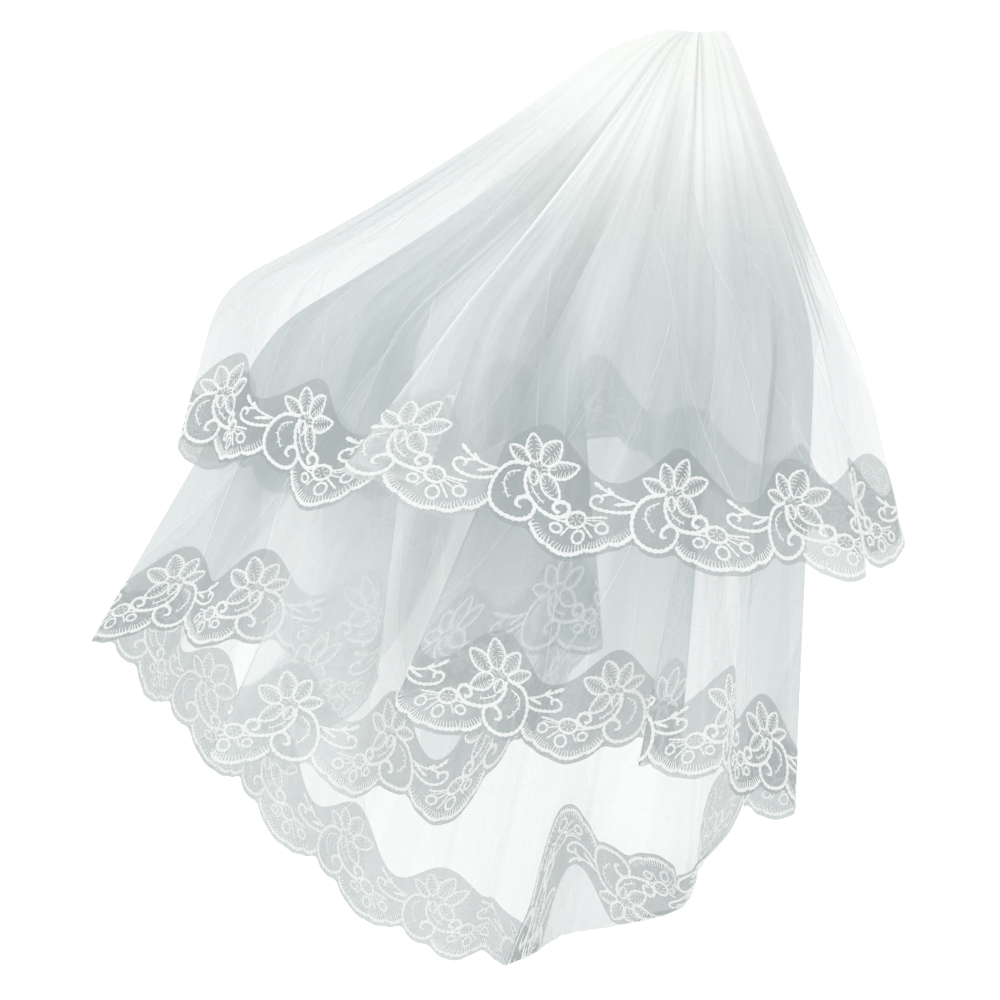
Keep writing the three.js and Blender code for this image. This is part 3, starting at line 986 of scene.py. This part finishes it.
net_group = make_net_group()
print("group:", net_group.name)

# %% [markdown]
# Gathered panels
#
# A gathered veil hangs in long slanted panels, some two or three layers thick, with a bright
# line where one laps over the next. Real layers would have to be traced one by one, and plain
# noise gives clouds with no edges. Here a one-dimensional cell pattern runs round the cloth
# and slants on its way down: a cell is a panel with its own density, and its border is a
# lapped edge. Three sizes multiply, and a stretched fine noise adds strands.

# %% Group for the panels
PANEL_LINE = 0.0012
GATHER_PANELS = (
    # count for each metre, slant, wander, thinnest, densest, edge line
    (7.0, 2.6, 1.6, 0.66, 1.34, 1.0),
    (9.0, -3.4, 1.2, 0.76, 1.24, 0.7),
    (19.0, 1.5, 1.0, 0.90, 1.12, 0.35),
)
WANDER_SCALE = 1.7
STRAND_SCALE = 42.0
STRAND_DETAIL = 2.0
STRAND_STRETCH = (1.0, 0.05, 1.0)
# Noise from and to, density from and to
STRAND_DENSITY = (0.35, 0.68, 0.95, 1.06)


def noise_value(tree, vector, scale, detail, stretch):
    placed = tree.nodes.new("ShaderNodeMapping")
    placed.inputs["Scale"].default_value = stretch
    tree.links.new(vector, placed.inputs["Vector"])
    noise = tree.nodes.new("ShaderNodeTexNoise")
    noise.inputs["Scale"].default_value = scale
    noise.inputs["Detail"].default_value = detail
    tree.links.new(placed.outputs[0], noise.inputs["Vector"])
    return noise.outputs["Fac"]


def ramp_value(tree, value, low, high, out_low=0.0, out_high=1.0):
    ramp = tree.nodes.new("ShaderNodeMapRange")
    ramp.interpolation_type = "SMOOTHSTEP"
    ramp.inputs["From Min"].default_value = low
    ramp.inputs["From Max"].default_value = high
    ramp.inputs["To Min"].default_value = out_low
    ramp.inputs["To Max"].default_value = out_high
    tree.links.new(value, ramp.inputs["Value"])
    return ramp.outputs[0]


def long_panels(tree, vector, count, slant, wander):
    across, down = split_map(tree, vector)
    noise = noise_value(tree, vector, WANDER_SCALE, 0.0, (1.0, 1.0, 1.0))
    place = add(tree, multiply(tree, down, slant), multiply(tree, noise, wander))
    place = add(tree, multiply(tree, across, count), place)
    found = []
    for feature in ("F1", "DISTANCE_TO_EDGE"):
        node = tree.nodes.new("ShaderNodeTexVoronoi")
        node.voronoi_dimensions = "1D"
        node.feature = feature
        node.inputs["Scale"].default_value = 1.0
        tree.links.new(place, node.inputs["W"])
        found.append(node)
    tone, _ = split_map(tree, found[0].outputs["Color"])
    return tone, found[1].outputs["Distance"]


def make_gather_group():
    group, start, end = new_group(
        "gathers",
        [("Map", "NodeSocketVector", None)],
        [("Density", "NodeSocketFloat"), ("Ridge", "NodeSocketFloat")],
    )
    cloth = start.outputs["Map"]
    strands = noise_value(group, cloth, STRAND_SCALE, STRAND_DETAIL, STRAND_STRETCH)
    density = ramp_value(group, strands, *STRAND_DENSITY)
    ridge = 0.0
    for count, slant, wander, low, high, line in GATHER_PANELS:
        tone, edge = long_panels(group, cloth, count, slant, wander)
        density = multiply(group, density, ramp_value(group, tone, 0.0, 1.0, low, high))
        border = ramp_value(group, edge, 0.0, PANEL_LINE * count, line, 0.0)
        ridge = math_node(group, "MAXIMUM", ridge, border)
    group.links.new(density, end.inputs["Density"])
    group.links.new(ridge, end.inputs["Ridge"])
    return group


gather_group = make_gather_group()
print("group:", gather_group.name, "with", len(GATHER_PANELS), "sizes of panel")

# %% [markdown]
# Tulle material
#
# A single layer of tulle takes little from what lies behind it and looks grey against white;
# that grey is painted shade, given to a net that is white. Where the cloth is crowded it turns
# opaque and takes the lit white, partly from its density and partly as painted light. A
# translucent shader could show this, but each layer would have to be modelled. Here the share
# of light that gets through one layer is raised to the number of layers, which crowding and
# panels give. Pressed creases are thin lines, denser and painted lit white. Lapped folds are
# painted lit white and are more open, so that the lace beneath shows. At the crown, dozens of
# layers leave hardly any shade, and a faint glow of painted light stands for that.


# %% Small helpers for materials
def new_material(name):
    material = bpy.data.materials.new(name)
    material.use_nodes = True
    shader = material.node_tree.nodes["Principled BSDF"]
    return material, material.node_tree, shader


def set_finish(shader, **values):
    for name, value in values.items():
        shader.inputs[name.replace("_", " ")].default_value = value


def uv_node(tree, name):
    node = tree.nodes.new("ShaderNodeUVMap")
    node.uv_map = name
    return node.outputs[0]


def mark(tree, name):
    node = tree.nodes.new("ShaderNodeAttribute")
    node.attribute_name = name
    return node.outputs["Fac"]


def mix_colour(tree, factor, first, second):
    node = tree.nodes.new("ShaderNodeMix")
    node.data_type = "RGBA"
    feed(tree, node.inputs[0], factor)
    feed(tree, node.inputs[6], first)
    feed(tree, node.inputs[7], second)
    return node.outputs[2]


def use_group(tree, group, **values):
    node = tree.nodes.new("ShaderNodeGroup")
    node.node_tree = group
    tree.links.new(uv_node(tree, "cloth"), node.inputs["Map"])
    for name, value in values.items():
        node.inputs[name].default_value = value
    return node.outputs


print("materials so far:", len(bpy.data.materials))

# %% Tulle
# The tulle's grey is painted shade on a white net; the paler colour after it is its lit copy
SHADED_HAZE = (0.52, 0.58, 0.585, 1)
LIT_WHITE = (0.825, 0.865, 0.865, 1)
CLOUD = (0.62, 0.63, 0.62, 1)
# Painted light: a glow at the crown that lifts the shade inside its dense gathers
CLOUD_GLOW = (0.215, 0.22, 0.215, 1)
NO_GLOW = (0, 0, 0, 1)
# Share of what lies behind that one layer covers
UPPER_COVER = 0.19
LOWER_COVER = 0.35
WEAVE_LEAST = 0.85
WEAVE_MORE = 0.6
RIDGE_COVER = 0.16
PRESSED_COVER = 0.7
PRESSED_SHARPNESS = 1.6
HEADING_COVER = 0.6
CROWD_LIT_RAMP = (0.9, 3.0)
NET_ROUGHNESS = 0.85
NET_GLOSS = 0.15


def tulle_material(name, cover):
    material, tree, shader = new_material(name)
    crowd, heading = mark(tree, "crowding"), mark(tree, "heading")
    lapped, crease = mark(tree, "lapped"), mark(tree, "crease")
    net = use_group(tree, net_group, Mesh=TULLE_MESH, Crease=FOLD_MARKS)
    gathers = use_group(tree, gather_group)
    pressed = math_node(tree, "POWER", crease, PRESSED_SHARPNESS)
    open_net = math_node(tree, "SUBTRACT", 1.0, heading)
    ridge = multiply(tree, gathers["Ridge"], open_net)

    layers = multiply(tree, crowd, gathers["Density"])
    through = math_node(tree, "POWER", 1 - cover, layers)
    dense = math_node(tree, "SUBTRACT", 1.0, through)
    woven = add(tree, WEAVE_LEAST, multiply(tree, net["Weave"], WEAVE_MORE))
    lines = multiply(tree, ridge, RIDGE_COVER)
    lines = add(tree, lines, multiply(tree, pressed, PRESSED_COVER))
    lines = add(tree, lines, multiply(tree, net["Creases"], open_net))
    alpha = add(tree, multiply(tree, dense, woven), lines)
    alpha = add(tree, alpha, multiply(tree, heading, HEADING_COVER), clamp=True)
    tree.links.new(alpha, shader.inputs["Alpha"])

    # Painted light: crowding, bunched folds, pressed creases and panel ridges lift the painted
    # grey shade to the lit white; for crowding it is partly real density
    painted_lit_mask = math_node(tree, "MAXIMUM", ramp_value(tree, crowd, *CROWD_LIT_RAMP), lapped)
    painted_lit_mask = math_node(tree, "MAXIMUM", painted_lit_mask, pressed)
    painted_lit_mask = math_node(tree, "MAXIMUM", painted_lit_mask, ridge, clamp=True)
    colour = mix_colour(tree, heading, mix_colour(tree, painted_lit_mask, SHADED_HAZE, LIT_WHITE), CLOUD)
    tree.links.new(colour, shader.inputs["Base Color"])
    # Painted light: the crown's glow
    glow = mix_colour(tree, heading, NO_GLOW, CLOUD_GLOW)
    tree.links.new(glow, shader.inputs["Emission Color"])
    set_finish(shader, Emission_Strength=1.0)
    set_finish(shader, Roughness=NET_ROUGHNESS, Specular_IOR_Level=NET_GLOSS)
    return material


upper_net = tulle_material("upper_tulle", UPPER_COVER)
lower_net = tulle_material("lower_tulle", LOWER_COVER)
print("tulle:", upper_net.name, "and", lower_net.name)

# %% [markdown]
# Lace ground and embroidery thread
#
# The edging's own net is coarser than the tulle, and its grey is a deeper painted shade. It takes
# the same weave group with a wider mesh, and on a lapped fold it is painted lit and pale, as the
# cloth behind it is.
#
# The real thread is glossy and twisted from strands that are too fine to model, so a bump of
# slanted lines follows each thread's own map; its colour is painted darker in the grooves of
# that twist and lighter on its ridges, a painted shade and highlight. Light passes on from
# thread to thread and leaves them white even in shade, so a part of their white is a painted
# glow.

# %% Lace ground
GROUND_MESH = 0.0022
GROUND_LEAST = 0.36
GROUND_MORE = 0.3
# The ground's grey is painted shade; the paler colour after it is its lit copy, used on lapped
# folds
GROUND_SHADE = (0.34, 0.38, 0.385, 1)
GROUND_LIT = (0.72, 0.765, 0.765, 1)


def ground_material(name):
    material, tree, shader = new_material(name)
    net = use_group(tree, net_group, Mesh=GROUND_MESH, Crease=0.0)
    alpha = add(tree, GROUND_LEAST, multiply(tree, net["Weave"], GROUND_MORE))
    tree.links.new(alpha, shader.inputs["Alpha"])
    # Painted light: the painted grey shade gives way to the lit colour on lapped folds
    colour = mix_colour(tree, mark(tree, "lapped"), GROUND_SHADE, GROUND_LIT)
    tree.links.new(colour, shader.inputs["Base Color"])
    set_finish(shader, Roughness=NET_ROUGHNESS, Specular_IOR_Level=NET_GLOSS)
    return material


lace_net = ground_material("lace_ground")
print("lace ground:", lace_net.name)

# %% Embroidery thread
TWIST_PITCH = 0.0007
TWIST_SLANT = 0.5
TWIST_STRENGTH = 0.5
TWIST_DEPTH = 0.0003
THREAD_GROOVE_SHADE = (0.36, 0.38, 0.38, 1)
THREAD_RIDGE_HIGHLIGHT = (0.54, 0.55, 0.54, 1)
THREAD_GLOW = 0.46
GLOW_COLOUR = (0.97, 1.0, 0.99, 1)


def thread_material(name):
    material, tree, shader = new_material(name)
    along, aside = split_map(tree, uv_node(tree, "thread"))
    slant = add(tree, along, multiply(tree, aside, TWIST_SLANT))
    twist = math_node(tree, "SINE", multiply(tree, slant, 2 * math.pi / TWIST_PITCH))
    bump = tree.nodes.new("ShaderNodeBump")
    bump.inputs["Strength"].default_value = TWIST_STRENGTH
    bump.inputs["Distance"].default_value = TWIST_DEPTH
    tree.links.new(twist, bump.inputs["Height"])
    tree.links.new(bump.outputs[0], shader.inputs["Normal"])
    # Painted shade and highlight: the colour follows the twist, darker in its grooves and lighter
    # on its ridges
    tone = add(tree, 0.5, multiply(tree, twist, 0.5))
    colour = mix_colour(tree, tone, THREAD_GROOVE_SHADE, THREAD_RIDGE_HIGHLIGHT)
    tree.links.new(colour, shader.inputs["Base Color"])
    set_finish(shader, Roughness=0.55, Sheen_Weight=0.2)
    set_finish(shader, Emission_Color=GLOW_COLOUR, Emission_Strength=THREAD_GLOW)
    return material


lace_thread = thread_material("embroidery_thread")
print("thread:", lace_thread.name)

# %% [markdown]
# Comb material
#
# The comb is a plain moulding of pale plastic, hidden by the gathers. A finer mesh of it
# would never be seen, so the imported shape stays. A faint mottle keeps it from looking flat.

# %% Comb, and every piece dressed
COMB_MOTTLE = 120
COMB_TONES = ((0.82, 0.82, 0.79, 1), (0.9, 0.9, 0.88, 1))
COMB_ROUGHNESS = 0.3


def mottled_material(name, scale, tones, roughness):
    material, tree, shader = new_material(name)
    noise = tree.nodes.new("ShaderNodeTexNoise")
    noise.inputs["Scale"].default_value = scale
    colour = mix_colour(tree, noise.outputs["Fac"], *tones)
    tree.links.new(colour, shader.inputs["Base Color"])
    set_finish(shader, Roughness=roughness)
    return material


def dress(piece, material):
    piece.data.materials.clear()
    piece.data.materials.append(material)


dress(upper_tulle, upper_net)
dress(lower_tulle, lower_net)
for piece in (upper_ground, lower_ground):
    dress(piece, lace_net)
for piece in threads:
    dress(piece, lace_thread)
comb_plastic = mottled_material("comb_plastic", COMB_MOTTLE, COMB_TONES, COMB_ROUGHNESS)
for slot in bpy.data.objects["comb"].material_slots:
    slot.material = comb_plastic
print("materials:", [material.name for material in bpy.data.materials])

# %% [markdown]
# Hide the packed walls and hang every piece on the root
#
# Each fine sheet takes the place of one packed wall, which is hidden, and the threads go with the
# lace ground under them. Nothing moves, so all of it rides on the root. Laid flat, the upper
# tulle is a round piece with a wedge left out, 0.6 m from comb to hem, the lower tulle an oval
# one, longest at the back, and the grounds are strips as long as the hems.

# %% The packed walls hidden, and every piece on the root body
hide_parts("upper_tier")
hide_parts("lower_tier")
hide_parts("upper_lace_border")
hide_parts("lower_lace_border")
for piece in (upper_tulle, lower_tulle):
    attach(piece, "root")
for piece in (upper_ground, lower_ground, *threads):
    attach(piece, "root")
print("sheets declared: 4, with", len(threads), "pieces of thread on them")

# %% [markdown]
# Floor and light
#
# The photo is lit from all sides on a white ground. A ring of lamps could do it, but a white
# world does the same with one setting. One wide, weak sun from the upper left gives the
# raised threads a bright and a dark side.

# %% Floor and sun
FLOOR_SIZE = 60
FLOOR_HEIGHT = -1.25
FLOOR_MOTTLE = 3
FLOOR_TONES = ((0.95, 0.95, 0.95, 1), (0.97, 0.97, 0.97, 1))
FLOOR_ROUGHNESS = 0.9
SUN_TURN = (38, 0, -42)
SUN_STRENGTH = 0.55
SUN_WIDTH = 30


def add_floor():
    bpy.ops.mesh.primitive_plane_add(size=FLOOR_SIZE, location=(0, 0, FLOOR_HEIGHT))
    floor = bpy.context.object
    floor.name = "floor"
    dress(floor, mottled_material("floor", FLOOR_MOTTLE, FLOOR_TONES, FLOOR_ROUGHNESS))


def add_sun(name):
    lamp = bpy.data.lights.new(name, "SUN")
    lamp.energy = SUN_STRENGTH
    lamp.angle = math.radians(SUN_WIDTH)
    holder = bpy.data.objects.new(name, lamp)
    bpy.context.scene.collection.objects.link(holder)
    holder.rotation_euler = tuple(math.radians(angle) for angle in SUN_TURN)


add_floor()
add_sun("soft_key")
print("floor at", FLOOR_HEIGHT, "m, sun", SUN_WIDTH, "degrees wide")

# %% White world, and enough bounces for sight to pass through every layer
LAYERS_TO_PASS = 48

world = bpy.data.worlds.new("studio")
bpy.context.scene.world = world
world.use_nodes = True
background = world.node_tree.nodes["Background"]
background.inputs["Color"].default_value = (1, 1, 1, 1)
background.inputs["Strength"].default_value = 1.0
bpy.context.scene.view_settings.view_transform = "Standard"
bpy.context.scene.cycles.transparent_max_bounces = LAYERS_TO_PASS
print("world:", world.name)
